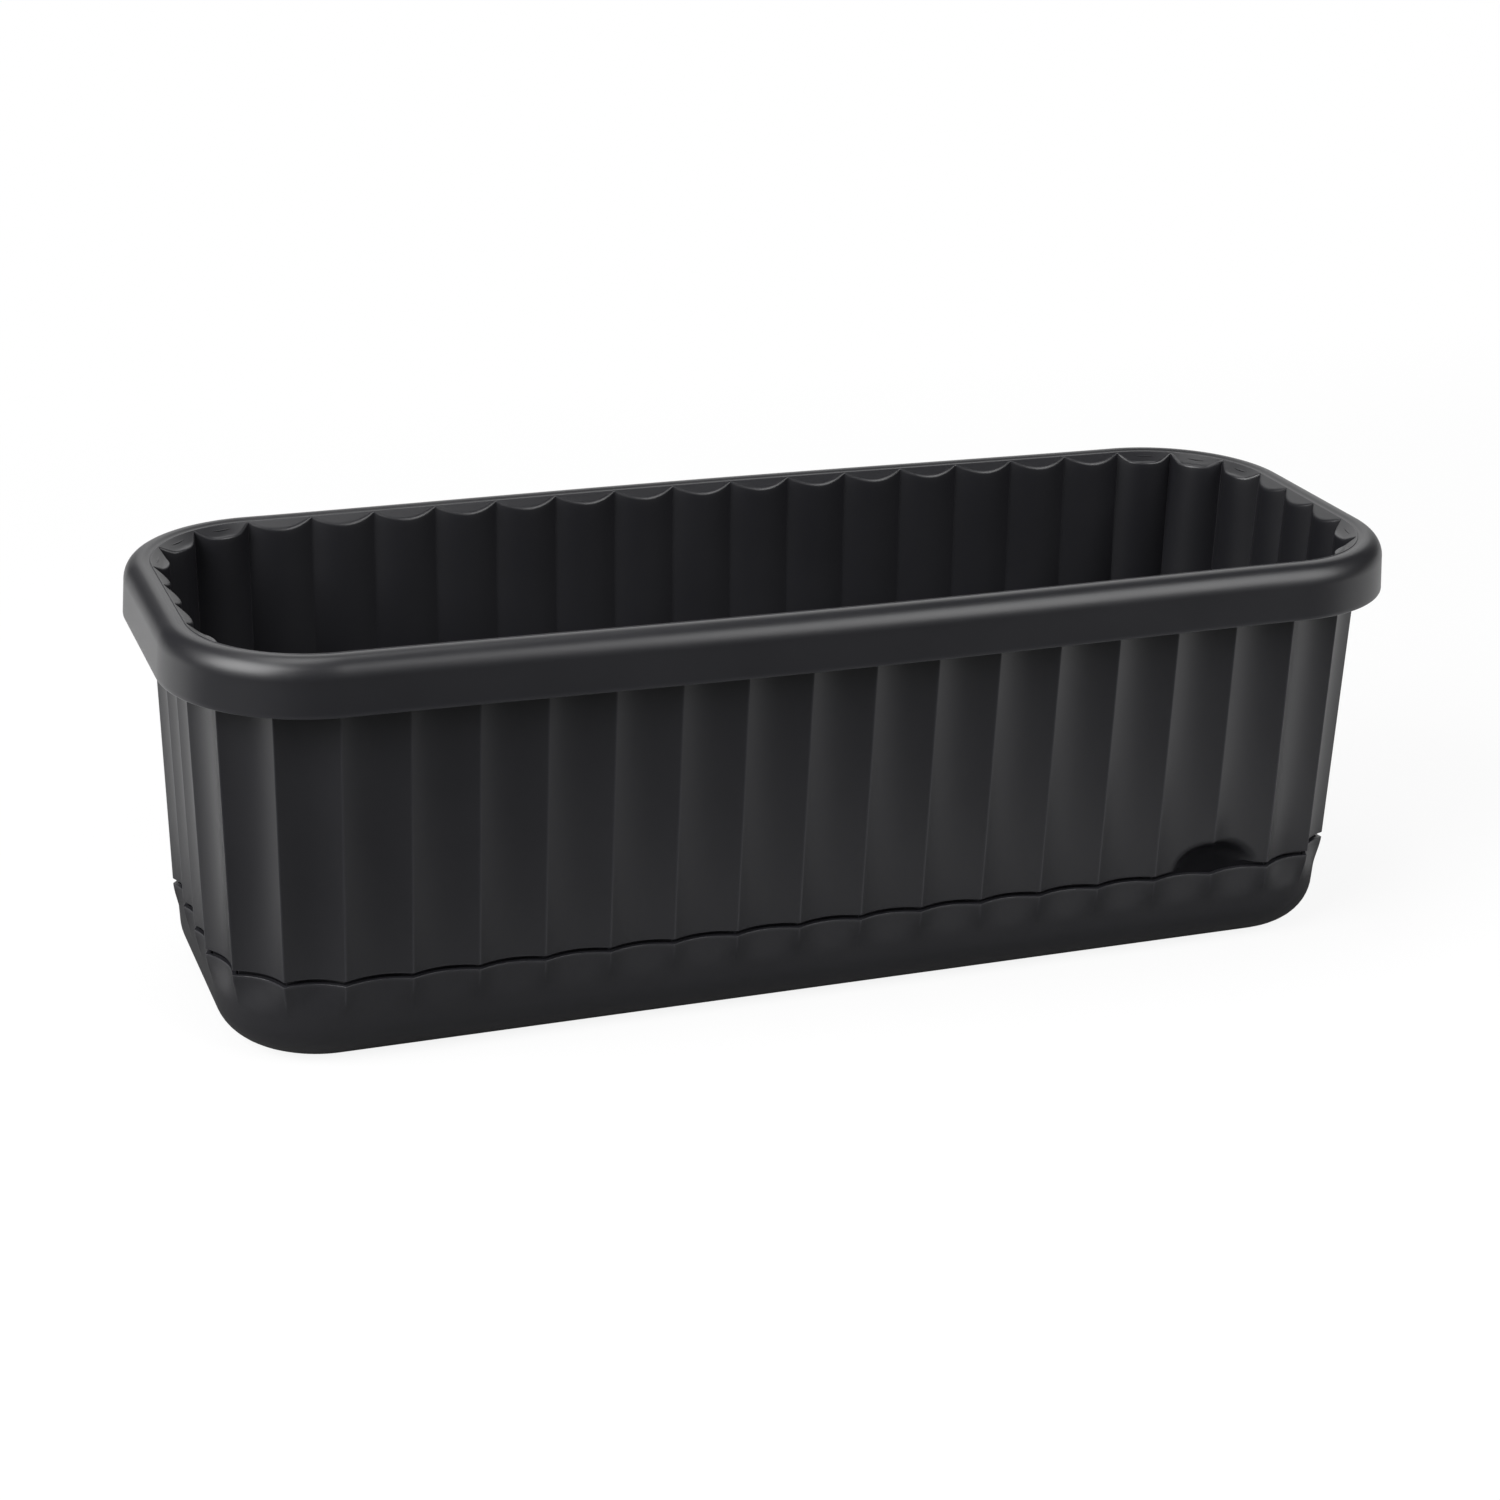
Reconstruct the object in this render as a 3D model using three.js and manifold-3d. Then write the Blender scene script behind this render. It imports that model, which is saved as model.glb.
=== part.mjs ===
// Window box planter: a fluted, tapered box with a rolled rim, standing in a saucer of the same outline.
// Millimetres, +Z up, +X along the box, the filling pocket on the -Y side.
// The origin is on the floor, below the centre.
import * as THREE from 'three';
import { mergeVertices } from 'three/addons/utils/BufferGeometryUtils.js';
import Module from 'manifold-3d';

const wasm = await Module();
wasm.setup();

// Outline of the rim, seen from above
const rimLength = 600;
const rimWidth = 227;
const rimCornerRadius = 69;
const sideBow = 3.5; // how far the rim's long sides swell out at mid-length

// Flutes of the walls
const longFlutes = 15;
const shortFlutes = 3;
const cornerFlutes = 3;
const fluteDepth = 3.5;
const fluteSteps = 3; // chords that draw one flute

// Heights and walls
const overallHeight = 201;
const saucerHeight = 41.4;
const partingGap = 1.2; // the dark line between saucer and box
const wall = 2.5;
const wallDraft = 4; // how far the wall leans in from the skirt's edge to the parting gap

// Rim, as a section: insets run inwards from the skirt's lower edge
const rimHeight = 25.7;
const rimWall = 2.4;
const rimOverhang = 12.3; // from the skirt's lower edge to the wall's ridges
const skirtDraft = 1;
const shoulderWidth = 8.5;
const shoulderHeight = 10.2;
const crestInset = 13.7;
const crestDrop = 0.7; // the inner crest lies this much under the rim's top
const topDrop = 0.2; // and halfway between the rim's apex and the crest it has dropped this much
const noseHeight = 5.5; // the crest rounds down this far into the box
const noseMargin = 0.2; // the rounding ends this far inside the flutes' bulges

// Saucer
const saucerWall = 2.5;
const saucerDraft = 1.2;
const saucerEdgeRadius = 20;
const fluteFade = 17; // the saucer's flutes run out over this height
const fadedShare = 0.6; // the smooth part lies this share of a flute's depth inside the ridges

// Plug, the lower end of the box inside the saucer
const plugClearance = 1;
const plugDepth = 16;
const plugEdge = 4; // bevel round the plug's lower edge
const restGap = 0.3; // between the feet and the saucer's floor

// Hollow feet and drain holes
const feetColumns = 4;
const feetRows = 2;
const feetSpacingX = 120;
const feetSpacingY = 80;
const footTopRadius = 14;
const footBottomRadius = 12;
const footSlotWidth = 5;
const footSlotHeight = 7;
const drainHoleRadius = 5;
const roundSides = 24;

// Filling pocket, cut into the front wall over the saucer's edge
const pocketRidge = 14; // the ridge of the front wall that it is centred on
const pocketWidth = 44;
const pocketHeight = 15.5;
const pocketDepth = 14;

const plasticColour = 0x2b2c2e;
const plasticRoughness = 0.5;

// Worked out from the sizes above
const straightX = rimLength / 2 - rimCornerRadius;
const straightY = rimWidth / 2 - rimCornerRadius - sideBow;
const skirtZ = overallHeight - rimHeight;
const boxEdgeZ = saucerHeight + partingGap;
const wallHeight = skirtZ - boxEdgeZ;
const draftPerMm = wallDraft / wallHeight;
const partingInset = rimOverhang + wallDraft;
const plugBottomZ = boxEdgeZ - plugDepth;
const feetBottomZ = saucerWall + restGap;
const cutMargin = 1; // how far a cutting body runs past the face it cuts

// Inset of the wall's ridges at a height
const wallInset = (z) => partingInset - draftPerMm * (z - boxEdgeZ);

// The long sides run straight at the saucer and take up their bow on the way to the rim
const bowShareAt = (z) => Math.min(Math.max((z - boxEdgeZ) / wallHeight, 0), 1);

const mix = (a, b, t) => a + (b - a) * t;
const smooth = (t) => {
  const u = Math.min(Math.max(t, 0), 1);
  return u * u * (3 - 2 * u);
};

// How far the long sides swell out at a place along the box
const bowAt = (x) => {
  const u = Math.min(Math.abs(x) / straightX, 1);
  return sideBow * (1 - u * u) ** 2;
};

// Walks round the outline at an inset, counter-clockwise from the left end of the front side.
// bowShare is how much of the long sides' bow it has. Each side or corner gives its number of
// stations, and the next one starts where it ends.
function outline(inset, bowShare, longSteps, shortSteps, cornerSteps) {
  const radius = rimCornerRadius - inset;
  const points = [];
  const corner = (cx, cy, from) => {
    for (let i = 0; i < cornerSteps; i++) {
      const a = from + (Math.PI / 2) * (i / cornerSteps);
      points.push(new THREE.Vector2(cx + radius * Math.cos(a), cy + radius * Math.sin(a)));
    }
  };
  const longSide = (sign) => {
    for (let i = 0; i < longSteps; i++) {
      const x = sign * mix(-straightX, straightX, i / longSteps);
      points.push(new THREE.Vector2(x, -sign * (straightY + radius + bowShare * bowAt(x))));
    }
  };
  const shortSide = (sign) => {
    for (let i = 0; i < shortSteps; i++) {
      const y = sign * mix(-straightY, straightY, i / shortSteps);
      points.push(new THREE.Vector2(sign * (straightX + radius), y));
    }
  };
  longSide(1);
  corner(straightX, -straightY, -Math.PI / 2);
  shortSide(1);
  corner(straightX, straightY, 0);
  longSide(-1);
  corner(-straightX, straightY, Math.PI / 2);
  shortSide(-1);
  corner(-straightX, -straightY, Math.PI);
  return points;
}

// The smooth outline of the rim
const rimShortSteps = 2;
const rimCornerSteps = 8;
const rimLoop = (inset) => outline(inset, 1, longFlutes, rimShortSteps, rimCornerSteps);

// The fluted outline: ridges on the smooth one, and a hollow between each two.
// sharpness fades it, from 1 for flutes of the full depth to 0 for the smooth outline.
function fluteLoop(inset, sharpness, bowShare) {
  const ridges = outline(inset, bowShare, longFlutes, shortFlutes, cornerFlutes);
  const plain = outline(inset, bowShare, longFlutes * fluteSteps, shortFlutes * fluteSteps,
    cornerFlutes * fluteSteps);
  const points = [];
  ridges.forEach((a, i) => {
    const b = ridges[(i + 1) % ridges.length];
    const inward = new THREE.Vector2(a.y - b.y, b.x - a.x).normalize();
    for (let k = 0; k < fluteSteps; k++) {
      const t = k / fluteSteps;
      const fluted = a.clone().lerp(b, t).addScaledVector(inward, 4 * fluteDepth * t * (1 - t));
      points.push(plain[i * fluteSteps + k].clone().lerp(fluted, sharpness));
    }
  });
  return points;
}

// A closed body through rings of equal point counts, listed from the lower end to the upper one
function loft(rings) {
  const count = rings[0].loop.length;
  const positions = [];
  const index = [];
  rings.forEach(({ loop, z }) => loop.forEach((p) => positions.push(p.x, p.y, z)));
  for (let r = 0; r + 1 < rings.length; r++) {
    for (let i = 0; i < count; i++) {
      const a = r * count + i;
      const b = r * count + ((i + 1) % count);
      index.push(a, b, b + count, a, b + count, a + count);
    }
  }
  const cap = (r, flip) => {
    THREE.ShapeUtils.triangulateShape(rings[r].loop, []).forEach(([a, b, c]) => {
      const face = flip ? [c, b, a] : [a, b, c];
      index.push(...face.map((v) => v + r * count));
    });
  };
  cap(0, true);
  cap(rings.length - 1, false);
  const geometry = new THREE.BufferGeometry();
  geometry.setAttribute('position', new THREE.Float32BufferAttribute(positions, 3));
  geometry.setIndex(index);
  return geometry;
}

// Turns a closed geometry into a solid that can be joined and cut
function solid(geometry) {
  const bare = geometry.clone();
  bare.deleteAttribute('normal');
  bare.deleteAttribute('uv');
  const merged = mergeVertices(bare, 1e-4);
  return new wasm.Manifold(new wasm.Mesh({
    numProp: 3,
    vertProperties: Float32Array.from(merged.getAttribute('position').array),
    triVerts: Uint32Array.from(merged.getIndex().array),
  }));
}

// A named mesh of moulded plastic from a solid
function piece(name, body) {
  const { numProp, vertProperties, triVerts } = body.getMesh();
  const geometry = new THREE.BufferGeometry();
  const positions = new Float32Array((vertProperties.length / numProp) * 3);
  for (let i = 0; i < positions.length / 3; i++) {
    positions.set(vertProperties.subarray(i * numProp, i * numProp + 3), i * 3);
  }
  geometry.setAttribute('position', new THREE.BufferAttribute(positions, 3));
  geometry.setIndex(new THREE.BufferAttribute(Uint32Array.from(triVerts), 1));
  geometry.computeVertexNormals();
  const material = new THREE.MeshStandardMaterial({
    color: plasticColour,
    roughness: plasticRoughness,
    metalness: 0,
  });
  const mesh = new THREE.Mesh(geometry, material);
  mesh.name = name;
  return mesh;
}

// An upright round or oval column between two heights, with its own radius at each end
function column(x, y, z0, z1, radius0, radius1, stretchY = 1) {
  const geometry = new THREE.CylinderGeometry(radius1, radius0, z1 - z0, roundSides);
  geometry.rotateX(Math.PI / 2);
  geometry.scale(1, stretchY, 1);
  geometry.translate(x, y, (z0 + z1) / 2);
  return solid(geometry);
}

// The saucer's outer wall at a depth below its upper edge: inset of the ridges, sharpness of the flutes
const saucerStraight = saucerHeight - saucerEdgeRadius;
function saucerWallAt(drop) {
  const faded = smooth(drop / fluteFade);
  return {
    inset: partingInset + saucerDraft * (drop / saucerStraight) + fadedShare * fluteDepth * faded,
    sharpness: 1 - faded,
  };
}

// Rings of the saucer's outer wall, or of its inside when a thickness is given, from the bottom up
function saucerRings(thickness, topZ) {
  const rings = [];
  const radius = saucerEdgeRadius - thickness;
  const low = saucerWallAt(saucerStraight);
  const edgeSteps = 3;
  for (let i = 0; i < edgeSteps; i++) {
    const a = (Math.PI / 2) * (i / edgeSteps);
    rings.push({
      loop: fluteLoop(low.inset + thickness + radius * (1 - Math.sin(a)), low.sharpness, 0),
      z: thickness + radius * (1 - Math.cos(a)),
    });
  }
  const wallSteps = 3;
  for (let i = wallSteps; i > 0; i--) {
    const drop = saucerStraight * (i / wallSteps);
    const at = saucerWallAt(drop);
    rings.push({ loop: fluteLoop(at.inset + thickness, at.sharpness, 0), z: saucerHeight - drop });
  }
  const edge = saucerWallAt(0);
  rings.push({ loop: fluteLoop(edge.inset + thickness, edge.sharpness, 0), z: topZ });
  return rings;
}

// Saucer: one moulding, fluted at its upper edge and rounded below
function makeSaucer() {
  const shell = solid(loft(saucerRings(0, saucerHeight)));
  const inside = solid(loft(saucerRings(saucerWall, saucerHeight + cutMargin)));
  return piece('saucer', shell.subtract(inside));
}

// The rim's outer surface as insets and heights above the skirt's lower edge
function rimProfile() {
  const springZ = rimHeight - shoulderHeight;
  const apexInset = skirtDraft + shoulderWidth;
  const points = [[0, 0], [skirtDraft, springZ]];
  const shoulderSteps = 5;
  for (let i = 1; i <= shoulderSteps; i++) {
    const a = (Math.PI / 2) * (i / shoulderSteps);
    points.push([apexInset - shoulderWidth * Math.cos(a), springZ + shoulderHeight * Math.sin(a)]);
  }
  const crestZ = rimHeight - crestDrop;
  points.push([(apexInset + crestInset) / 2, rimHeight - topDrop]);
  points.push([crestInset, crestZ]);
  const bulgeInset = wallInset(skirtZ + crestZ - noseHeight) + fluteDepth + wall;
  const noseWidth = bulgeInset + noseMargin - crestInset;
  const noseSteps = 4;
  for (let i = 1; i <= noseSteps; i++) {
    const a = (Math.PI / 2) * (i / noseSteps);
    points.push([crestInset + noseWidth * Math.sin(a), crestZ - noseHeight * (1 - Math.cos(a))]);
  }
  return points;
}

// The hollow under the rim, from below the skirt up to the rim's underside
function underRimProfile() {
  const springZ = rimHeight - shoulderHeight;
  const apexInset = skirtDraft + shoulderWidth;
  const points = [[rimWall, -cutMargin], [skirtDraft + rimWall, springZ]];
  const shoulderSteps = 4;
  for (let i = 1; i <= shoulderSteps; i++) {
    const a = (Math.PI / 2) * (i / shoulderSteps);
    points.push([
      apexInset - (shoulderWidth - rimWall) * Math.cos(a),
      springZ + (shoulderHeight - rimWall) * Math.sin(a),
    ]);
  }
  return points;
}

// A body of the rim's outline through a profile of insets and heights
const rimBody = (profile) => {
  const rings = profile.map(([inset, z]) => ({ loop: rimLoop(inset), z: skirtZ + z }));
  return solid(loft(rings));
};

// The outside of the plug, or its inside when a thickness is given, at a depth below the box's edge.
// Its flutes don't fade, so that it passes the saucer's fluted edge when the box is lifted off.
function plugRing(drop, thickness, bevel = 0) {
  const { inset } = saucerWallAt(drop - partingGap);
  return {
    loop: fluteLoop(inset + saucerWall + plugClearance + thickness + bevel, 1, 0),
    z: boxEdgeZ - drop + thickness,
  };
}

// The outside of the wall, or its inside when a thickness is given, at a height
const wallRing = (z, thickness) => ({
  loop: fluteLoop(wallInset(z) + thickness, 1, bowShareAt(z)),
  z,
});

// Box: one moulding of walls, rolled rim, plug, floor, hollow feet and filling pocket
function makePlanterBox() {
  const aboveRimZ = overallHeight + cutMargin;

  const outside = solid(loft([
    plugRing(plugDepth, 0, plugEdge),
    plugRing(plugDepth - plugEdge, 0),
    plugRing(plugDepth / 2, 0),
    plugRing(0, 0),
    wallRing(boxEdgeZ, 0),
    wallRing(skirtZ, 0),
    wallRing(aboveRimZ, 0),
  ]));
  const inside = solid(loft([
    plugRing(plugDepth, wall, plugEdge),
    plugRing(plugDepth - plugEdge, wall),
    plugRing(plugDepth / 2, wall),
    plugRing(0, wall),
    wallRing(boxEdgeZ + wall, wall),
    wallRing(skirtZ, wall),
    wallRing(aboveRimZ, wall),
  ]));

  // The wall ends under the rim's rounded top, and the flutes' insides cut the scallops into it
  const profile = rimProfile();
  const crown = rimBody([[0, plugBottomZ - skirtZ - cutMargin], ...profile]);
  const rim = rimBody(profile).subtract(rimBody(underRimProfile()));
  const walls = outside.intersect(crown);
  let body = walls.add(rim).subtract(inside);

  // Feet: hollow wells from the floor down to the saucer, with a slot that lets the water in
  for (let i = 0; i < feetColumns; i++) {
    for (let j = 0; j < feetRows; j++) {
      const x = (i - (feetColumns - 1) / 2) * feetSpacingX;
      const y = (j - (feetRows - 1) / 2) * feetSpacingY;
      const floorTopZ = plugBottomZ + wall;
      const foot = column(x, y, feetBottomZ, floorTopZ, footBottomRadius, footTopRadius);
      const well = column(x, y, feetBottomZ + wall, floorTopZ + cutMargin,
        footBottomRadius - wall, footTopRadius - wall);
      const slot = new THREE.BoxGeometry(2 * footTopRadius + cutMargin, footSlotWidth, footSlotHeight);
      slot.translate(x, y, feetBottomZ - cutMargin + footSlotHeight / 2);
      body = body.add(foot).subtract(well).subtract(solid(slot));
    }
  }

  // Drain holes along the floor's middle, between the feet and past them
  for (let i = 0; i <= feetColumns; i++) {
    const x = (i - feetColumns / 2) * feetSpacingX;
    body = body.subtract(column(x, 0, plugBottomZ - cutMargin, plugBottomZ + wall + cutMargin,
      drainHoleRadius, drainHoleRadius));
  }

  // Filling pocket: a quarter dome pressed into the wall, open down into the saucer
  const pocketX = (pocketRidge - longFlutes / 2) * (2 * straightX / longFlutes);
  const pocketY = -(straightY + rimCornerRadius - partingInset);
  const pocket = (grow, bottomZ) => {
    const dome = new THREE.SphereGeometry(1, roundSides, roundSides / 2);
    dome.rotateX(Math.PI / 2);
    dome.scale(pocketWidth / 2 + grow, pocketDepth + grow, pocketHeight + grow);
    dome.translate(pocketX, pocketY, boxEdgeZ);
    const shaft = column(pocketX, pocketY, bottomZ, boxEdgeZ, pocketWidth / 2 + grow,
      pocketWidth / 2 + grow, (pocketDepth + grow) / (pocketWidth / 2 + grow));
    return solid(dome).add(shaft);
  };
  const pocketShell = pocket(wall, plugBottomZ).intersect(walls);
  body = body.add(pocketShell).subtract(pocket(0, plugBottomZ - cutMargin));
  return piece('planter_box', body);
}

const planter = new THREE.Group();
planter.add(makeSaucer(), makePlanterBox());

export default planter;
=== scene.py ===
import math

import bmesh
import bpy
import numpy as np
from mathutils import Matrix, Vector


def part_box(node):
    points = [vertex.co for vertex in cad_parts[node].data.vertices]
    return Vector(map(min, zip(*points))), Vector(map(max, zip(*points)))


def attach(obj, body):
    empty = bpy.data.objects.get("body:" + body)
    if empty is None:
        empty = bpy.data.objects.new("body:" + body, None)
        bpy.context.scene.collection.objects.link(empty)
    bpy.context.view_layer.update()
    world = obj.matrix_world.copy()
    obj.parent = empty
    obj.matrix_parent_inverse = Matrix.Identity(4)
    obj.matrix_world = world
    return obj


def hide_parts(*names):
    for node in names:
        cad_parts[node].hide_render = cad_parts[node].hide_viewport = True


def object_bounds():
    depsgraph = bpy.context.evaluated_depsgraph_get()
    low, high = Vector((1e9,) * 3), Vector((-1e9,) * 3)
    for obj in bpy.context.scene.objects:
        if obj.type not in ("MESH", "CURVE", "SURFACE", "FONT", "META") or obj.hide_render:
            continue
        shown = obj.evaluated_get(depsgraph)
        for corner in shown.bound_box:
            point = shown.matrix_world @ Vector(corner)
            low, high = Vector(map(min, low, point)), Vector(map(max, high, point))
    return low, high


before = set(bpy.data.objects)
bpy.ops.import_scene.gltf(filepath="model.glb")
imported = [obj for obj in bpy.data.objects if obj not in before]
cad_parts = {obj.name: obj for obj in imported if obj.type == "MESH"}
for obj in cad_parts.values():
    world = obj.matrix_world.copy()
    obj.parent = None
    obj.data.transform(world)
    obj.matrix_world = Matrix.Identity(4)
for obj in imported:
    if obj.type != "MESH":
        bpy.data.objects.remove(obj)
cad_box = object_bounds()


# ---- Camera ----
# The photograph's view: from the left of the front side and a little above, about a metre and a half
# away, with a long lens. It leans a little to one side, as the photograph does.
camera_data = bpy.data.cameras.new("camera")
camera_data.sensor_width = 36
camera_data.lens = 74.09
camera = bpy.data.objects.new("camera", camera_data)
camera.location = (-0.5001, -1.3114, cad_box[1].z + 0.4440)
camera.rotation_euler = [math.radians(a) for a in (68.534, -1.446, -20.019)]
bpy.context.scene.collection.objects.link(camera)
bpy.context.scene.camera = camera


# ---- Box ----
# The planter's body is one injection moulding in through-coloured polypropylene: fluted walls, a rolled
# rim, a shoulder that stands over the saucer, a plug that goes down into it, and a floor with drain
# holes and hollow feet. The filling pocket is pressed into the front wall by a slide in the mould.
mm = 0.001
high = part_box("planter_box")[1]
saucer_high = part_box("saucer")[1]

# The outline of the rim, seen from above
rim_corner_radius = 69 * mm
straight_width = 82 * mm
straight_x = high.x - rim_corner_radius
straight_y = straight_width / 2
side_bow = high.y - rim_corner_radius - straight_y
long_flutes = 15
short_flutes = 3
corner_flutes = 3
half_flutes = long_flutes + short_flutes + 2 * corner_flutes
flute_width = 2 * straight_x / long_flutes
flute_depth = 3.5 * mm
arris_radius = 0.9 * mm
arris_share = 0.45 * arris_radius / flute_width

# Heights and walls, with the dark gap between box and saucer
parting_gap = 1.2 * mm
wall = 2.5 * mm
wall_draft = 4 * mm
rim_height = 25.7 * mm
rim_wall = 2.4 * mm
rim_overhang = 12.3 * mm
skirt_z = high.z - rim_height
box_edge_z = saucer_high.z + parting_gap
draft = wall_draft / (skirt_z - box_edge_z)
parting_inset = rim_overhang + wall_draft
plug_clearance = 1 * mm
plug_depth = 16 * mm
plug_edge = 4 * mm
saucer_wall = 2.5 * mm
plug_bottom_z = box_edge_z - plug_depth

# The saucer's wall, which the plug follows
saucer_draft = 1.2 * mm
saucer_edge_radius = 20 * mm
saucer_straight = saucer_high.z - saucer_edge_radius
flute_fade = 17 * mm
faded_share = 0.6


def outline(u, inset, bow_share):
    """The smooth outline at an inset. u counts flutes from the left end of the front side."""
    turn = np.where(np.mod(u, 2 * half_flutes) < half_flutes, 1.0, -1.0)
    v = np.mod(u, half_flutes)
    radius = rim_corner_radius - inset
    first_corner = np.clip((v - long_flutes) / corner_flutes, 0, 1)
    end = np.clip((v - long_flutes - corner_flutes) / short_flutes, 0, 1)
    second_corner = np.clip((v - half_flutes + corner_flutes) / corner_flutes, 0, 1)
    angle = math.pi / 2 * (first_corner + second_corner - 1)
    along = straight_x * (2 * np.clip(v / long_flutes, 0, 1) - 1)
    bow = bow_share * side_bow * (1 - (along / straight_x) ** 2) ** 2
    x = along + radius * np.cos(angle)
    y = straight_y * (2 * end - 1) + radius * np.sin(angle) - bow
    return np.stack([turn * x, turn * y], axis=-1)


def hollow(first, t, inset, bow_share):
    """A place in the hollow between ridge number first and the next one."""
    a = outline(first, inset, bow_share)
    b = outline(first + 1, inset, bow_share)
    chord = b - a
    inward = np.stack([-chord[..., 1], chord[..., 0]], axis=-1)
    inward = inward / np.linalg.norm(inward, axis=-1, keepdims=True)
    t = np.asarray(t)[..., None]
    return a + chord * t + inward * 4 * flute_depth * t * (1 - t)


def fluted(u, inset, sharpness, bow_share):
    """Ridges with a hollow between each two, every ridge eased over arris_share on both sides.
    sharpness scales them: 1 for the full depth, 0 for the smooth outline."""
    ridge = np.round(u)
    full = hollow(np.floor(u), u - np.floor(u), inset, bow_share)
    before = hollow(ridge - 1, np.full_like(u, 1 - arris_share), inset, bow_share)
    after = hollow(ridge, np.full_like(u, arris_share), inset, bow_share)
    q = np.clip(0.5 + (u - ridge) / (2 * arris_share), 0, 1)[..., None]
    eased = (1 - q) ** 2 * before + 2 * q * (1 - q) * outline(ridge, inset, bow_share) + q ** 2 * after
    full = np.where((np.abs(u - ridge) < arris_share)[..., None], eased, full)
    plain = outline(u, inset, bow_share)
    return plain + (full - plain) * sharpness


def inset_of(points):
    """How far a place lies inside the rim's outline."""
    across = np.abs(points[..., 0]) - straight_x
    deep = np.abs(points[..., 1]) - straight_y
    bow = side_bow * (1 - np.clip(np.abs(points[..., 0]) / straight_x, 0, 1) ** 2) ** 2
    corner = rim_corner_radius - np.hypot(across, deep)
    return np.where(across < 0, rim_corner_radius - deep + bow,
                    np.where(deep < 0, rim_corner_radius - across, corner))


def wall_inset(z):
    return parting_inset - draft * (z - box_edge_z)


def bow_share_at(z):
    """The long sides run straight at the saucer and take up their bow on the way to the rim."""
    return np.clip((z - box_edge_z) / (skirt_z - box_edge_z), 0, 1)


def smooth(t):
    t = np.clip(t, 0, 1)
    return t * t * (3 - 2 * t)


def saucer_wall_at(drop):
    """Inset of the ridges and sharpness of the flutes at a depth below the saucer's upper edge."""
    faded = smooth(drop / flute_fade)
    inset = parting_inset + saucer_draft * drop / saucer_straight + faded_share * flute_depth * faded
    return inset, 1 - faded


# Stations round the outline: close together at the ridges and across the filling pocket
half_steps = [0, 0.5 * arris_share, arris_share, 2 * arris_share, 0.06, 0.1, 0.15, 0.21, 0.28, 0.36, 0.43]
flute_steps = half_steps + [0.5] + [1 - t for t in half_steps[:0:-1]]
pocket_ridge = 14
pocket_step = 0.5 * mm
close_from = 0.03
close_to = 0.98
pocket_steps = list(np.arange(close_from, close_to, pocket_step / flute_width))
stations = []
for flute in range(2 * half_flutes):
    steps = flute_steps
    if flute in (pocket_ridge - 1, pocket_ridge):
        steps = sorted([t for t in flute_steps if t < close_from or t > close_to] + pocket_steps)
    stations += [flute + t for t in steps]
stations = np.array(stations)
around = len(stations)


def ring(plan, z):
    """A closed line of points: a plan outline at one height, or at a height for each point."""
    return np.column_stack([plan, np.broadcast_to(z, (around,))])


def smooth_ring(inset, z):
    return ring(outline(stations, inset, 1), z)


def fluted_ring(inset, sharpness, z):
    return ring(fluted(stations, inset, sharpness, bow_share_at(z)), z)


def arc(centre, radii, start, end, steps):
    """Points (inset, height) on a quarter or other part of an ellipse, angles in degrees."""
    angles = np.radians(np.linspace(start, end, steps + 1))
    return [(centre[0] + radii[0] * math.cos(a), centre[1] + radii[1] * math.sin(a)) for a in angles]


# The filling pocket is a quarter dome with a soft lip, a little to the right of a ridge's foot
pocket_width = 42 * mm
pocket_height = 14 * mm
pocket_depth = 14 * mm
pocket_lip = 4 * mm
pocket_shift = 2.5 * mm
pocket_x = pocket_ridge * flute_width - straight_x + pocket_shift
pocket_y = -(straight_y + rim_corner_radius - parting_inset)


def press_pocket(points, grow):
    """Moves the front wall's points back on to the pocket, with the lip rounded.
    grow is the wall's thickness for the pocket's back, and 0 for its front."""
    tiny = 1e-9
    search_x = 0.7 * pocket_width
    search_top = box_edge_z + 2 * pocket_height
    near = (np.abs(points[:, 0] - pocket_x) < search_x) & (points[:, 1] < 0) & (points[:, 2] < search_top)
    if not near.any():
        return points
    wide = pocket_width / 2 + grow
    deep = pocket_depth + grow
    tall = pocket_height + grow
    x = points[near, 0] - pocket_x
    start = points[near, 1]
    z = np.clip(points[near, 2] - box_edge_z, 0, None)

    def open_air(y):
        """Over 0 in front of the wall or inside the dome, under 0 in the plastic."""
        front = start - y
        dy = np.clip(y - pocket_y, 0, None)
        k0 = np.sqrt((x / wide) ** 2 + (dy / deep) ** 2 + (z / tall) ** 2) + tiny
        k1 = np.sqrt((x / wide ** 2) ** 2 + (dy / deep ** 2) ** 2 + (z / tall ** 2) ** 2) + tiny
        inside = k0 * (1 - k0) / k1
        blend = np.clip(pocket_lip - np.abs(front - inside), 0, None) / pocket_lip
        return np.maximum(front, inside) + blend ** 2 * pocket_lip / 4

    near_y = start.copy()
    far_y = start + deep + pocket_lip
    halvings = 40
    for _ in range(halvings):
        middle = (near_y + far_y) / 2
        air = open_air(middle) > 0
        near_y = np.where(air, middle, near_y)
        far_y = np.where(air, far_y, middle)
    moved = points.copy()
    moved[near, 1] = np.where(open_air(start) > 0.001 * mm, near_y, start)
    return moved


# The box is one skin of closed lines, from the plug's foot up the outside, over the rim and down inside.
# Plug: the rounded lower edge, then up to the shoulder, whose underside rises outwards over the
# saucer's edge and so widens the dark gap there
box_rings = []
bevel_steps = 6
plug_rows = 8


def plug_inset(drop, thickness):
    """The plug's flutes don't fade, so that it passes the saucer's fluted edge."""
    return saucer_wall_at(drop - parting_gap)[0] + saucer_wall + plug_clearance + thickness


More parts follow.
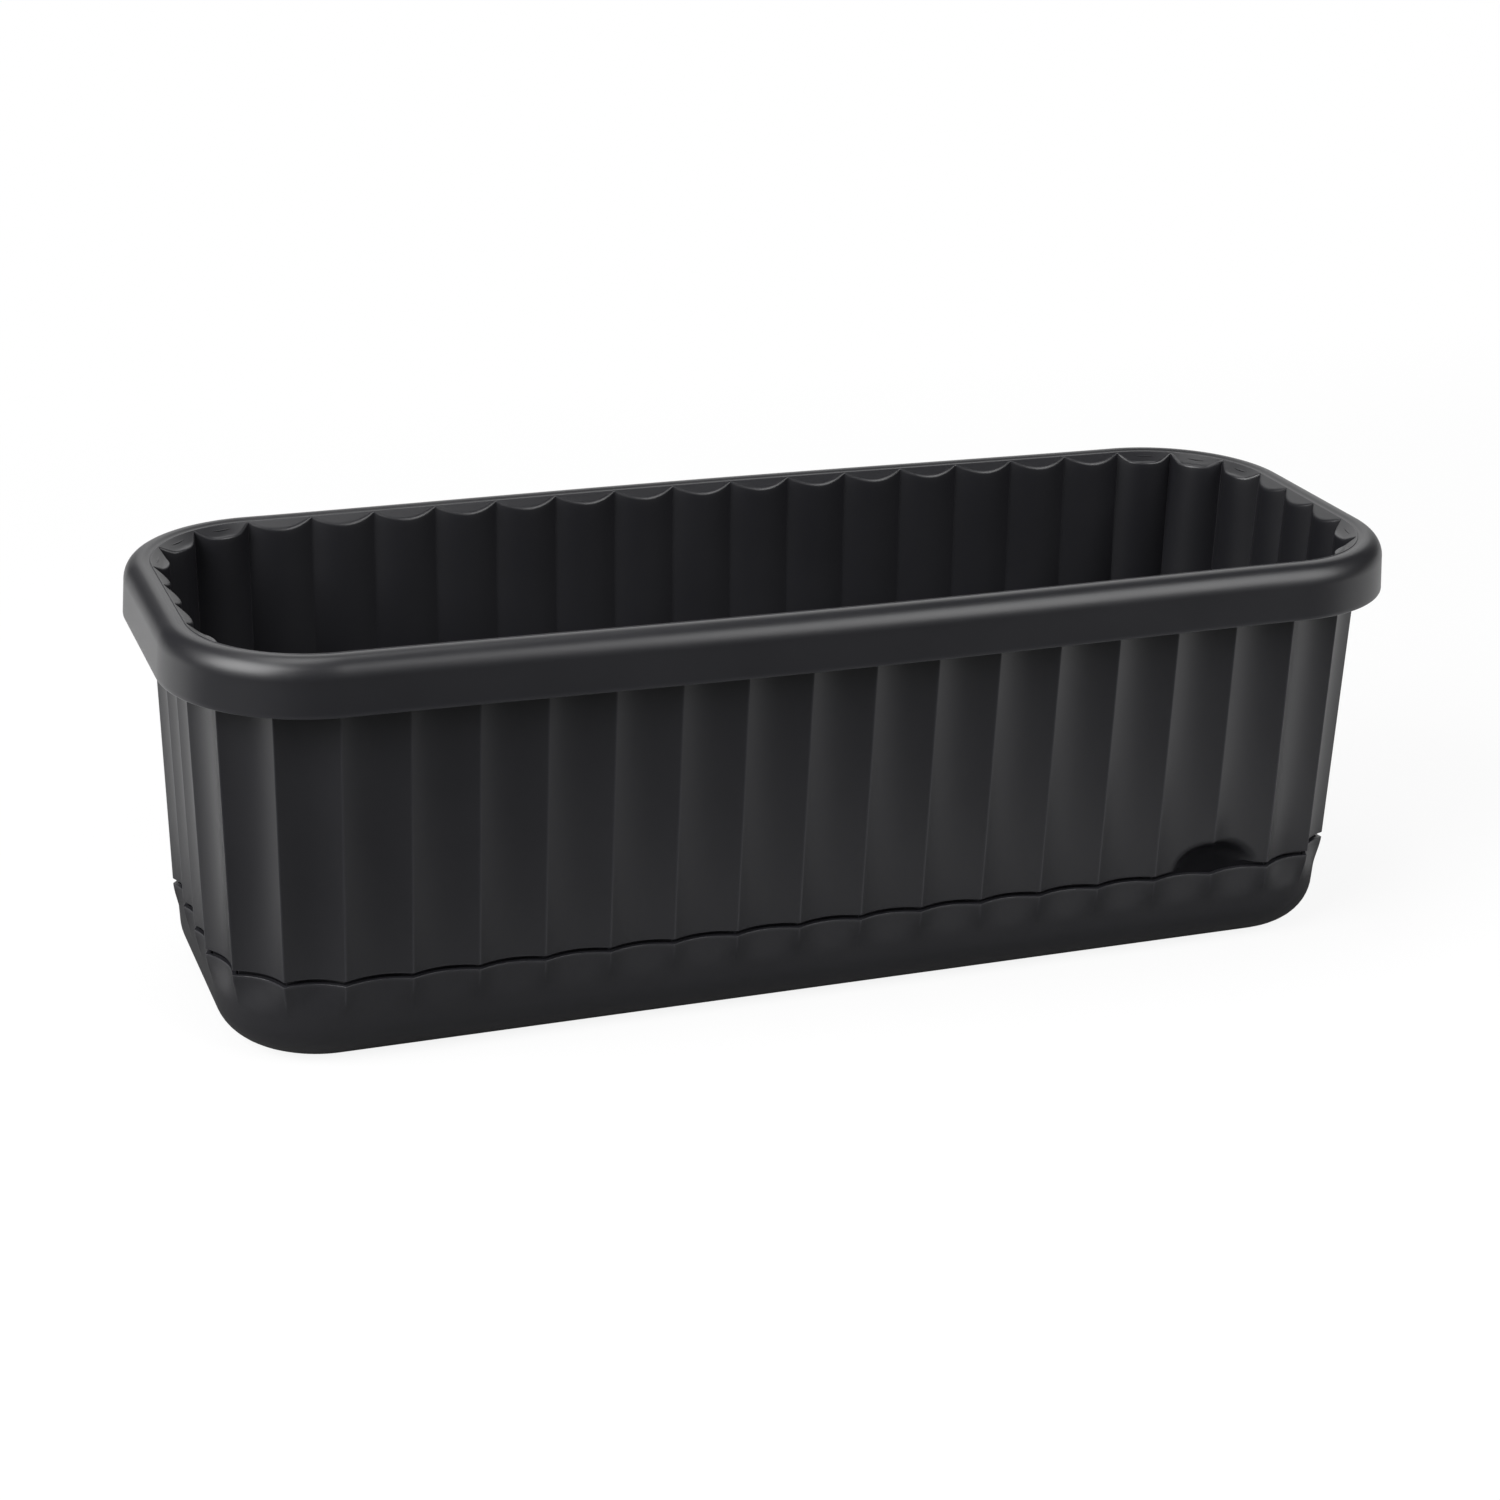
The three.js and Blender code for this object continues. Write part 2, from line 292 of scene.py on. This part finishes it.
for i in range(bevel_steps):
    a = math.pi / 2 * i / bevel_steps
    drop = plug_depth - plug_edge * (1 - math.cos(a))
    box_rings.append(fluted_ring(plug_inset(drop, 0) + plug_edge * (1 - math.sin(a)), 1, box_edge_z - drop))
for i in range(plug_rows):
    drop = (plug_depth - plug_edge) * (1 - i / plug_rows)
    box_rings.append(fluted_ring(plug_inset(drop, 0), 1, box_edge_z - drop))
edge_radius = 0.2 * mm
edge_rise = 1.2 * mm
wall_foot_z = box_edge_z + edge_rise + edge_radius
box_rings.append(fluted_ring(plug_inset(0, 0), 1, box_edge_z))
for inset, z in arc((parting_inset + edge_radius, wall_foot_z), (edge_radius, edge_radius), 270, 180, 3):
    box_rings.append(fluted_ring(inset, 1, z))

# Wall: close rows across the pocket, then up to the underside of the rim
pocket_rows = 36
pocket_top_z = box_edge_z + pocket_height + 3 * mm
wall_rows = (0.1, 0.25, 0.4, 0.55, 0.7, 0.85, 0.95, 0.99, 1)
ceiling_z = high.z - rim_wall
for i in range(1, pocket_rows + 1):
    z = wall_foot_z + (pocket_top_z - wall_foot_z) * i / pocket_rows
    box_rings.append(fluted_ring(wall_inset(z), 1, z))
for share in wall_rows:
    z = pocket_top_z + (ceiling_z - pocket_top_z) * share
    box_rings.append(fluted_ring(wall_inset(z), 1, z))

# Rim: under the roll, round the skirt's lower edge, up the skirt and over the roll to the inner crest
skirt_draft = 1 * mm
shoulder_width = 8.5 * mm
shoulder_height = 10.2 * mm
spring_z = high.z - shoulder_height
apex_inset = skirt_draft + shoulder_width
skirt_edge = 0.7 * mm
skirt_foot = skirt_draft * skirt_edge / (spring_z - skirt_z)
skirt_rise = spring_z - skirt_z - skirt_edge
profile = arc((apex_inset, spring_z), (shoulder_width - rim_wall, shoulder_height - rim_wall), 90, 180, 8)
profile += [(rim_wall + skirt_foot + skirt_draft * share, skirt_z + skirt_edge + skirt_rise * share)
            for share in (0.6, 0.15, 0.0)]
profile += arc((rim_wall - skirt_edge, skirt_z + skirt_edge), (skirt_edge, skirt_edge), -15, -90, 4)
profile += arc((skirt_edge, skirt_z + skirt_edge), (skirt_edge, skirt_edge), -90, -180, 5)
profile += [(skirt_draft * share, skirt_z + skirt_edge + skirt_rise * share)
            for share in (0.1, 0.35, 0.65, 0.85, 0.94)]
profile += arc((apex_inset, spring_z), (shoulder_width, shoulder_height), 180, 90, 20)

# A shallow dip, as distance and drop from the roll's top, parts the roll from the inner crest
dip = [(0.7 * mm, 0.06 * mm), (1.4 * mm, 0.28 * mm), (2 * mm, 0.6 * mm), (2.7 * mm, 0.85 * mm),
       (3.2 * mm, 0.85 * mm)]
crest_inset = 13.7 * mm
crest_drop = 0.7 * mm
crest_z = high.z - crest_drop
crest_radius = 0.5 * mm
profile += [(apex_inset + across, high.z - drop) for across, drop in dip]
profile += arc((crest_inset, crest_z - crest_radius), (crest_radius, crest_radius), 150, 90, 4)
box_rings += [smooth_ring(inset, z) for inset, z in profile]

# Nose: from the crest down into the box, cut by the hollows' backs into scallops with a rounded lip.
# The backs swell a little further into the box on the way up to it. Where the nose is short, the lip
# still leaves it lip_from_share of its length.
nose_height = 3.8 * mm
nose_margin = 0.2 * mm
swell = 0.5
swell_height = 70 * mm
swollen_depth = flute_depth * (1 + swell)
nose_width = wall_inset(crest_z - nose_height) + swollen_depth + wall + nose_margin - crest_inset
nose_rows = 9
lip_radius = 1.2 * mm
lip_from_share = 0.45


def nose_z(inset):
    return crest_z - nose_height * np.clip((inset - crest_inset) / nose_width, 0, 1)


def inner_plan(z):
    """The inside of the wall at one height for each station."""
    sharpness = 1 + swell * smooth((z - crest_z + swell_height) / swell_height)
    return fluted(stations, wall_inset(z) + wall, sharpness[:, None], bow_share_at(z))


# The height at which the nose meets the wall's inside, nearer at each round
lip_z = np.full(around, crest_z)
rounds = 30
for _ in range(rounds):
    lip_z = 0.5 * lip_z + 0.5 * nose_z(inset_of(inner_plan(lip_z)))
lip_plan = inner_plan(lip_z)
crest_plan = outline(stations, crest_inset, 1)
nose_length = np.linalg.norm(lip_plan - crest_plan, axis=1)
nose_end = np.clip(1 - lip_radius / nose_length, lip_from_share, 1)


def nose_ring(share):
    plan = crest_plan + (lip_plan - crest_plan) * share[:, None]
    return ring(plan, nose_z(inset_of(plan)))


for i in range(1, nose_rows + 1):
    box_rings.append(nose_ring(nose_end * i / nose_rows))
lip_start = box_rings[-1]
lip_middle = ring(lip_plan, lip_z)
wall_z = lip_z - np.minimum(lip_radius, nose_length)
lip_end = ring(inner_plan(wall_z), wall_z)
for q in (0.2, 0.4, 0.6, 0.8, 1):
    box_rings.append((1 - q) ** 2 * lip_start + 2 * q * (1 - q) * lip_middle + q ** 2 * lip_end)

# Inside of the wall, down past the pocket's back to the shoulder and the floor
inner_from = len(box_rings)
floor_z = plug_bottom_z + wall
shelf_z = box_edge_z + wall
for share in (0.02, 0.08, 0.2, 0.4, 0.6, 0.8, 1):
    z = wall_z + (pocket_top_z + wall - wall_z) * share
    box_rings.append(ring(inner_plan(z), z))
inner_rows = 20
for i in range(1, inner_rows + 1):
    z = np.full(around, pocket_top_z + wall - (pocket_top_z - box_edge_z) * i / inner_rows)
    box_rings.append(ring(inner_plan(z), z))
for i in range(1, plug_rows + 1):
    drop = (plug_depth - plug_edge) * i / plug_rows
    box_rings.append(fluted_ring(plug_inset(drop, wall), 1, shelf_z - drop))
for i in range(1, bevel_steps + 1):
    a = math.pi / 2 * i / bevel_steps
    drop = plug_depth - plug_edge * (1 - math.sin(a))
    box_rings.append(fluted_ring(plug_inset(drop, wall) + plug_edge * (1 - math.cos(a)), 1, shelf_z - drop))

box_rings = [press_pocket(points, wall if i >= inner_from else 0) for i, points in enumerate(box_rings)]


def skin(bm, rings):
    """Joins closed lines of points by quads, and returns the vertices ring by ring."""
    rows = [[bm.verts.new(p) for p in points] for points in rings]
    for below, above in zip(rows, rows[1:]):
        count = len(below)
        for i in range(count):
            j = (i + 1) % count
            bm.faces.new((below[i], below[j], above[j], above[i]))
    return rows


def edges_round(bm, row):
    return [bm.edges.get((a, b)) or bm.edges.new((a, b)) for a, b in zip(row, row[1:] + row[:1])]


box_mesh = bmesh.new()
box_rows = skin(box_mesh, box_rings)

# Floor: a plate with drain holes and with hollow feet, which hold soil and let the water in by a slot
feet_spacing_x = 120 * mm
feet_spacing_y = 80 * mm
feet_columns = 4
feet_rows = 2
foot_top_radius = 14 * mm
foot_bottom_radius = 12 * mm
rest_gap = 0.3 * mm
foot_z = saucer_wall + rest_gap
slot_width = 5 * mm
slot_height = 4.5 * mm
slot_start = 2 * mm
drain_radius = 5 * mm
drain_chamfer = 0.6 * mm
fillet = 1 * mm
fillet_cut = 0.3 * fillet
round_sides = 48


def circle(x, y, radius, z):
    angles = np.linspace(0, 2 * math.pi, round_sides, endpoint=False)
    return np.column_stack([x + radius * np.cos(angles), y + radius * np.sin(angles),
                            np.full(round_sides, z)])


def lathe(x, y, section):
    return [circle(x, y, radius, z) for radius, z in section]


def make_foot(x, y):
    """The mesh of a hollow foot, closed but for its slot."""
    slope = (foot_top_radius - foot_bottom_radius) / (floor_z - foot_z)
    neck = foot_top_radius - slope * wall
    outer = [(neck + fillet, plug_bottom_z), (neck + fillet_cut, plug_bottom_z - fillet_cut),
             (neck - slope * fillet, plug_bottom_z - fillet)]
    outer += [(foot_bottom_radius + slope * fillet, foot_z + fillet)]
    outer += [(foot_bottom_radius - fillet + fillet * math.cos(a), foot_z + fillet - fillet * math.sin(a))
              for a in np.radians((30, 60, 90))]
    well_z = foot_z + wall
    well_low = foot_bottom_radius - wall
    well_top = foot_top_radius - wall
    inner = [(well_low - fillet, well_z), (well_low - fillet_cut, well_z + fillet_cut),
             (well_low + slope * fillet, well_z + fillet),
             (well_top - slope * fillet, floor_z - fillet),
             (well_top + fillet_cut, floor_z - fillet_cut), (well_top + fillet, floor_z)]
    bm = bmesh.new()
    outer_rows = skin(bm, lathe(x, y, outer[::-1]))
    inner_rows = skin(bm, lathe(x, y, inner[::-1]))
    bm.faces.new(outer_rows[0][::-1])
    bm.faces.new(inner_rows[-1])
    for i in range(round_sides):
        j = (i + 1) % round_sides
        bm.faces.new((outer_rows[-1][i], outer_rows[-1][j], inner_rows[0][j], inner_rows[0][i]))
    bmesh.ops.recalc_face_normals(bm, faces=bm.faces)
    foot = bpy.data.objects.new("foot", bpy.data.meshes.new("foot"))
    bm.to_mesh(foot.data)
    bm.free()

    cutter_mesh = bmesh.new()
    bmesh.ops.create_cube(cutter_mesh, size=1)
    bmesh.ops.scale(cutter_mesh, vec=(4 * foot_top_radius, slot_width, slot_height + slot_start),
                    verts=cutter_mesh.verts)
    bmesh.ops.translate(cutter_mesh, vec=(x, y, foot_z + (slot_height - slot_start) / 2),
                        verts=cutter_mesh.verts)
    cutter = bpy.data.objects.new("slot", bpy.data.meshes.new("slot"))
    cutter_mesh.to_mesh(cutter.data)
    cutter_mesh.free()
    for piece in (foot, cutter):
        bpy.context.scene.collection.objects.link(piece)
    cut = foot.modifiers.new("slot", "BOOLEAN")
    cut.operation = "DIFFERENCE"
    cut.solver = "EXACT"
    cut.object = cutter
    evaluated = foot.evaluated_get(bpy.context.evaluated_depsgraph_get())
    result = bpy.data.meshes.new_from_object(evaluated)
    bpy.data.objects.remove(foot)
    bpy.data.objects.remove(cutter)
    return result


# A foot's outside and inside end at the plate's two faces, so the faces that close it there come off
level = 0.001 * mm
under_edges = edges_round(box_mesh, box_rows[0])
over_edges = edges_round(box_mesh, box_rows[-1])
for i in range(feet_columns + 1):
    x = (i - feet_columns / 2) * feet_spacing_x
    hole = skin(box_mesh, lathe(x, 0, [(drain_radius + drain_chamfer, floor_z),
                                       (drain_radius, floor_z - drain_chamfer),
                                       (drain_radius, plug_bottom_z)]))
    over_edges += edges_round(box_mesh, hole[0])
    under_edges += edges_round(box_mesh, hole[-1])
for i in range(feet_columns):
    for j in range(feet_rows):
        x = (i - (feet_columns - 1) / 2) * feet_spacing_x
        y = (j - (feet_rows - 1) / 2) * feet_spacing_y
        foot_mesh = make_foot(x, y)
        count = len(box_mesh.faces)
        box_mesh.from_mesh(foot_mesh)
        box_mesh.faces.ensure_lookup_table()
        lid = [f for f in box_mesh.faces[count:]
               if max(v.co.z for v in f.verts) > floor_z - level
               and min(v.co.z for v in f.verts) < plug_bottom_z + level]
        bmesh.ops.delete(box_mesh, geom=lid, context="FACES_ONLY")
        box_mesh.faces.ensure_lookup_table()
        box_mesh.edges.ensure_lookup_table()
        for edge in box_mesh.edges:
            if not edge.is_boundary:
                continue
            centre = (edge.verts[0].co + edge.verts[1].co) / 2
            if math.hypot(centre.x - x, centre.y - y) > foot_top_radius + 2 * fillet:
                continue
            (over_edges if centre.z > floor_z - level else under_edges).append(edge)
for edges in (under_edges, over_edges):
    bmesh.ops.triangle_fill(box_mesh, use_beauty=True, use_dissolve=False, edges=edges)

# Satin-matt moulded polypropylene, through-coloured anthracite: a broad soft sheen and no clear image
# of the lamps. The fine spark-eroded grain of the mould is drawn at 0.5 mm, coarser than its real 0.1 mm,
# so that it shows. The ridges and lips get a painted highlight: a paler colour, with a slightly lower
# roughness.


def srgb(code):
    """The linear colour of an sRGB hex value."""
    parts = [int(code[i:i + 2], 16) / 255 for i in (1, 3, 5)]
    return tuple(p / 12.92 if p <= 0.04045 else ((p + 0.055) / 1.055) ** 2.4 for p in parts) + (1,)


def add_node(tree, kind, settings=None, links=None):
    """Adds a node. Settings and links go by a socket's name or number, or by a property's name."""
    node = tree.nodes.new(kind)
    for name, value in (settings or {}).items():
        if isinstance(name, int) or name in node.inputs:
            node.inputs[name].default_value = value
        else:
            setattr(node, name, value)
    for name, source in (links or {}).items():
        tree.links.new(source, node.inputs[name])
    return node


def satin_polypropylene():
    cloud_size = 60 * mm
    wave_size = 35 * mm
    wave_height = 0.4 * mm
    grain_size = 0.5 * mm
    grain_height = 0.06 * mm
    material = bpy.data.materials.new("satin moulded polypropylene")
    material.use_nodes = True
    tree = material.node_tree
    tree.nodes.clear()
    place = add_node(tree, "ShaderNodeTexCoord").outputs["Object"]
    clouds = add_node(tree, "ShaderNodeTexNoise", {"Scale": 1 / cloud_size, "Detail": 3, "Roughness": 0.5},
                      {"Vector": place}).outputs["Fac"]
    # The painted highlight on ridges and lips, read from the mesh
    edge_highlight = add_node(tree, "ShaderNodeAttribute", {"attribute_name": "edge_highlight"}).outputs["Fac"]
    tint = add_node(tree, "ShaderNodeMix",
                    {"data_type": "RGBA", "A": srgb("#131316"), "B": srgb("#18181b")}, {"Factor": clouds})
    # Painted highlight: the colour turns paler along the tightly bent ridges and lips
    paler = add_node(tree, "ShaderNodeMix", {"data_type": "RGBA", "B": srgb("#202023")},
                     {"Factor": edge_highlight, "A": tint.outputs["Result"]})
    uneven = add_node(tree, "ShaderNodeMapRange", {"To Min": 0.34, "To Max": 0.42}, {"Value": clouds})
    smoother = add_node(tree, "ShaderNodeMath", {"operation": "MULTIPLY_ADD", 1: -0.03},
                        {0: edge_highlight, 2: uneven.outputs["Result"]})
    waves = add_node(tree, "ShaderNodeTexNoise", {"Scale": 1 / wave_size, "Detail": 1}, {"Vector": place})
    grains = add_node(tree, "ShaderNodeTexNoise", {"Scale": 1 / grain_size, "Detail": 2, "Roughness": 0.6},
                      {"Vector": place})
    wavy = add_node(tree, "ShaderNodeBump", {"Strength": 0.25, "Distance": wave_height},
                    {"Height": waves.outputs["Fac"]})
    grainy = add_node(tree, "ShaderNodeBump", {"Strength": 0.25, "Distance": grain_height},
                      {"Height": grains.outputs["Fac"], "Normal": wavy.outputs["Normal"]})
    surface = add_node(tree, "ShaderNodeBsdfPrincipled", {"IOR": 1.49, "Metallic": 0.0},
                       {"Base Color": paler.outputs["Result"], "Roughness": smoother.outputs["Value"],
                        "Normal": grainy.outputs["Normal"]})
    add_node(tree, "ShaderNodeOutputMaterial", links={"Surface": surface.outputs["BSDF"]})
    return material


plastic = satin_polypropylene()


def finish_mesh(bm, name):
    """Closes a moulding's mesh, marks the edges that get a painted highlight and turns it into an object.
    An edge gets the painted highlight where the surface bends outwards about as tightly as at a ridge."""
    weld = 0.004 * mm
    sliver = 0.002 * mm
    flat_area = 400 * mm ** 2
    sharp_angle = math.radians(38)
    shortest_edge = 0.05 * mm
    least_bend = 0.25
    bmesh.ops.remove_doubles(bm, verts=bm.verts, dist=weld)
    bmesh.ops.dissolve_degenerate(bm, edges=bm.edges, dist=sliver)
    bmesh.ops.recalc_face_normals(bm, faces=bm.faces)
    for face in bm.faces:
        face.smooth = len(face.verts) == 4 and face.calc_area() < flat_area
    mesh = bpy.data.meshes.new(name)
    bm.to_mesh(mesh)
    bm.free()
    mesh.set_sharp_from_angle(angle=sharp_angle)
    count = len(mesh.vertices)
    places = np.zeros(count * 3)
    mesh.vertices.foreach_get("co", places)
    places = places.reshape(-1, 3)
    normals = np.zeros(count * 3)
    mesh.vertex_normals.foreach_get("vector", normals)
    normals = normals.reshape(-1, 3)
    ends = np.zeros(len(mesh.edges) * 2, int)
    mesh.edges.foreach_get("vertices", ends)
    a, b = ends.reshape(-1, 2).T
    way = places[b] - places[a]
    length_squared = np.maximum((way ** 2).sum(1), shortest_edge ** 2)
    bend = arris_radius * ((normals[b] - normals[a]) * way).sum(1) / length_squared
    strongest = np.zeros(count)
    np.maximum.at(strongest, a, bend)
    np.maximum.at(strongest, b, bend)
    # How strongly each point gets the painted highlight on ridges and lips
    edge_highlight = smooth((strongest - least_bend) / (1 - least_bend))
    mesh.attributes.new("edge_highlight", "FLOAT", "POINT").data.foreach_set("value", edge_highlight.astype(np.float32))
    piece = bpy.data.objects.new(name, mesh)
    bpy.context.scene.collection.objects.link(piece)
    mesh.materials.append(plastic)
    return piece


box = finish_mesh(box_mesh, "fluted_box")
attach(box, "box")
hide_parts("planter_box")


# ---- Saucer ----
# A second moulding in the same polypropylene, with the box's flutes on its upper edge. They run out into
# a plain wall, and a large radius leads under to the flat bottom. The box stands in it on its feet.
saucer_edge = 0.2 * mm
lip_flat = 1.4 * saucer_edge
bend_steps = 14
fade_rows = 16


def saucer_rings(thickness):
    """The saucer's outer surface, or its inside at a wall's thickness, from the bottom up."""
    rings = []
    radius = saucer_edge_radius - thickness
    low_inset, low_sharpness = saucer_wall_at(saucer_straight)
    for i in range(bend_steps):
        a = math.pi / 2 * i / bend_steps
        rings.append(fluted_ring(low_inset + thickness + radius * (1 - math.sin(a)), low_sharpness,
                                 thickness + radius * (1 - math.cos(a))))
    for i in range(fade_rows, -1, -1):
        drop = saucer_edge + (saucer_straight - saucer_edge) * i / fade_rows
        inset, sharpness = saucer_wall_at(drop)
        rings.append(fluted_ring(inset + thickness, sharpness, saucer_high.z - drop))
    return rings


lip_section = arc((saucer_edge, saucer_high.z - saucer_edge), (saucer_edge, saucer_edge), 150, 90, 2)
lip_section += [(lip_flat, saucer_high.z), (saucer_wall - lip_flat, saucer_high.z)]
lip_section += arc((saucer_wall - saucer_edge, saucer_high.z - saucer_edge),
                   (saucer_edge, saucer_edge), 90, 30, 2)
lip = [fluted_ring(parting_inset + inset, 1, z) for inset, z in lip_section]
saucer_mesh = bmesh.new()
saucer_rows = skin(saucer_mesh, saucer_rings(0) + lip + saucer_rings(saucer_wall)[::-1])
saucer_mesh.faces.new(saucer_rows[0])
saucer_mesh.faces.new(saucer_rows[-1])
saucer = finish_mesh(saucer_mesh, "fluted_saucer")
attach(saucer, "saucer")
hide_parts("saucer")


# ---- Floor ----
# A plain board in matt white emulsion, which scatters light evenly and keeps the planter's soft shadow.
# It runs back to a white backdrop. For mirrored rays its colour carries painted shade: dark in front, for a
# dark room, and close to the planter.
floor_half = 6
floor_drop = 0.3 * mm
floor_mesh = bmesh.new()
bmesh.ops.create_grid(floor_mesh, x_segments=8, y_segments=8, size=floor_half)
floor = bpy.data.objects.new("floor", bpy.data.meshes.new("floor"))
floor_mesh.to_mesh(floor.data)
floor_mesh.free()
floor.location.z = -floor_drop
bpy.context.scene.collection.objects.link(floor)

# The way to the backdrop, along the floor, and the distances that way at which the backdrop's light
# starts and is full, and at which the painted shade in front does
back_angle = math.radians(20)
to_backdrop = (math.sin(back_angle), math.cos(back_angle), 0)
backdrop_start = 0.5
backdrop_full = 1.5
front_shade_start = -0.05
front_shade_full = -0.30

# Distances out from the planter between which its shade ends, and the camera's white begins
shade_start = 0.03
shade_end = 0.085
shade_share = 0.85
white_start = 0.2
white_full = 0.9
near_share = 0.88

# The camera sees the floor nearly white near the planter, where its shadow falls, and white further off.
# Mirrored and transmitted rays see it white towards the backdrop. For them its colour is dark with painted
# shade in front, for the dark room, and close to the planter, where little light falls.
paint = bpy.data.materials.new("matt white paint")
paint.use_nodes = True
tree = paint.node_tree
tree.nodes.clear()
rays = add_node(tree, "ShaderNodeLightPath").outputs
mirrored = add_node(tree, "ShaderNodeMath", {"operation": "MAXIMUM"},
                    {0: rays["Is Glossy Ray"], 1: rays["Is Transmission Ray"]}).outputs[0]
place = add_node(tree, "ShaderNodeTexCoord").outputs["Object"]
back = add_node(tree, "ShaderNodeVectorMath", {"operation": "DOT_PRODUCT", 1: to_backdrop},
                {0: place}).outputs["Value"]
folded = add_node(tree, "ShaderNodeVectorMath", {"operation": "ABSOLUTE"}, {0: place}).outputs[0]
beyond = add_node(tree, "ShaderNodeVectorMath", {"operation": "SUBTRACT", 1: (high.x, high.y, 0)},
                  {0: folded}).outputs[0]
parts = add_node(tree, "ShaderNodeSeparateXYZ", links={"Vector": beyond}).outputs
off = add_node(tree, "ShaderNodeMath", {"operation": "MAXIMUM"}, {0: parts["X"], 1: parts["Y"]}).outputs[0]
behind = add_node(tree, "ShaderNodeMapRange", {"From Min": backdrop_start, "From Max": backdrop_full},
                  {"Value": back}).outputs["Result"]
ahead = add_node(tree, "ShaderNodeMapRange", {"From Min": front_shade_start, "From Max": front_shade_full},
                 {"Value": back}).outputs["Result"]
close = add_node(tree, "ShaderNodeMapRange",
                 {"From Min": shade_end, "From Max": shade_start, "To Max": shade_share},
                 {"Value": off}).outputs["Result"]
far = add_node(tree, "ShaderNodeMapRange",
               {"From Min": white_start, "From Max": white_full, "To Min": near_share, "To Max": 1},
               {"Value": off}).outputs["Result"]
# Painted shade for mirrored rays: in front of the planter and close to it
shade = add_node(tree, "ShaderNodeMath", {"operation": "MAXIMUM"}, {0: ahead, 1: close}).outputs[0]
dark = add_node(tree, "ShaderNodeMath", {"operation": "MULTIPLY"}, {0: mirrored, 1: shade}).outputs[0]
# The floor's colour, darkened by the painted shade for mirrored rays only
tone = add_node(tree, "ShaderNodeMix", {"data_type": "RGBA", "A": srgb("#dcdcdc"), "B": srgb("#3c3c3c")},
                {"Factor": dark}).outputs["Result"]
matt = add_node(tree, "ShaderNodeBsdfDiffuse", links={"Color": tone}).outputs["BSDF"]
glow = add_node(tree, "ShaderNodeEmission", {"Color": (1, 1, 1, 1), "Strength": 1}).outputs["Emission"]
seen = add_node(tree, "ShaderNodeMath", {"operation": "MULTIPLY"},
                {0: rays["Is Camera Ray"], 1: far}).outputs[0]
white = add_node(tree, "ShaderNodeMath", {"operation": "MULTIPLY_ADD"},
                 {0: mirrored, 1: behind, 2: seen}).outputs[0]
mixed = add_node(tree, "ShaderNodeMixShader", links={0: white, 1: matt, 2: glow}).outputs["Shader"]
add_node(tree, "ShaderNodeOutputMaterial", links={"Surface": mixed})
floor.data.materials.append(paint)


# ---- White surround ----
# A white paper backdrop hangs behind the planter and the studio round it is dim. The camera sees white all
# round, and mirrored and transmitted rays see white only where the backdrop hangs.
backdrop_edge = 0.8
backdrop_inner = 0.95
backdrop_top = 0.7
backdrop_below = 0.4
room_light = 0.06
world = bpy.data.worlds.new("white surround")
bpy.context.scene.world = world
world.use_nodes = True
tree = world.node_tree
tree.nodes.clear()
rays = add_node(tree, "ShaderNodeLightPath").outputs
mirrored = add_node(tree, "ShaderNodeMath", {"operation": "MAXIMUM"},
                    {0: rays["Is Glossy Ray"], 1: rays["Is Transmission Ray"]}).outputs[0]
direction = add_node(tree, "ShaderNodeTexCoord").outputs["Generated"]
back = add_node(tree, "ShaderNodeVectorMath", {"operation": "DOT_PRODUCT", 1: to_backdrop},
                {0: direction}).outputs["Value"]
height = add_node(tree, "ShaderNodeSeparateXYZ", links={"Vector": direction}).outputs["Z"]
behind = add_node(tree, "ShaderNodeMapRange", {"From Min": backdrop_edge, "From Max": backdrop_inner},
                  {"Value": back}).outputs["Result"]
below = add_node(tree, "ShaderNodeMapRange", {"From Min": backdrop_top, "From Max": backdrop_below},
                 {"Value": height}).outputs["Result"]
share = add_node(tree, "ShaderNodeMath", {"operation": "MULTIPLY"}, {0: behind, 1: below}).outputs[0]
white = add_node(tree, "ShaderNodeMath", {"operation": "MULTIPLY_ADD"},
                 {0: share, 1: mirrored, 2: rays["Is Camera Ray"]}).outputs[0]
light = add_node(tree, "ShaderNodeMath", {"operation": "MAXIMUM", 1: room_light}, {0: white}).outputs[0]
backdrop = add_node(tree, "ShaderNodeBackground", {"Color": (1, 1, 1, 1)}, {"Strength": light})
add_node(tree, "ShaderNodeOutputWorld", links={"Surface": backdrop.outputs["Background"]})


# ---- Lamps ----
# Softboxes, as in a studio: a large one on the left, a smaller one on the right, and weak ones above and
# at the back. They light the planter at a plain level, and the camera doesn't see them.
lamp_distance = 2.2


def softbox(name, azimuth, elevation, size, power):
    """A rectangular lamp that faces the planter. Azimuth 0 is in front, and it grows to the right."""
    lamp = bpy.data.lights.new(name, "AREA")
    lamp.shape = "RECTANGLE"
    lamp.size, lamp.size_y = size
    lamp.energy = power
    holder = bpy.data.objects.new(name, lamp)
    azimuth = math.radians(azimuth)
    elevation = math.radians(elevation)
    along_floor = lamp_distance * math.cos(elevation)
    holder.location = (along_floor * math.sin(azimuth), -along_floor * math.cos(azimuth),
                       lamp_distance * math.sin(elevation) + high.z / 2)
    holder.rotation_euler = (math.pi / 2 - elevation, 0, azimuth)
    holder.visible_camera = False
    bpy.context.scene.collection.objects.link(holder)


softbox("left lamp", azimuth=-70, elevation=34, size=(1.7, 1.5), power=78)
softbox("right lamp", azimuth=38, elevation=36, size=(1.7, 1.4), power=39)
softbox("top lamp", azimuth=-120, elevation=78, size=(1.5, 0.9), power=19)
softbox("back lamp", azimuth=160, elevation=38, size=(2.4, 0.9), power=9)
bpy.context.scene.view_settings.view_transform = "Standard"
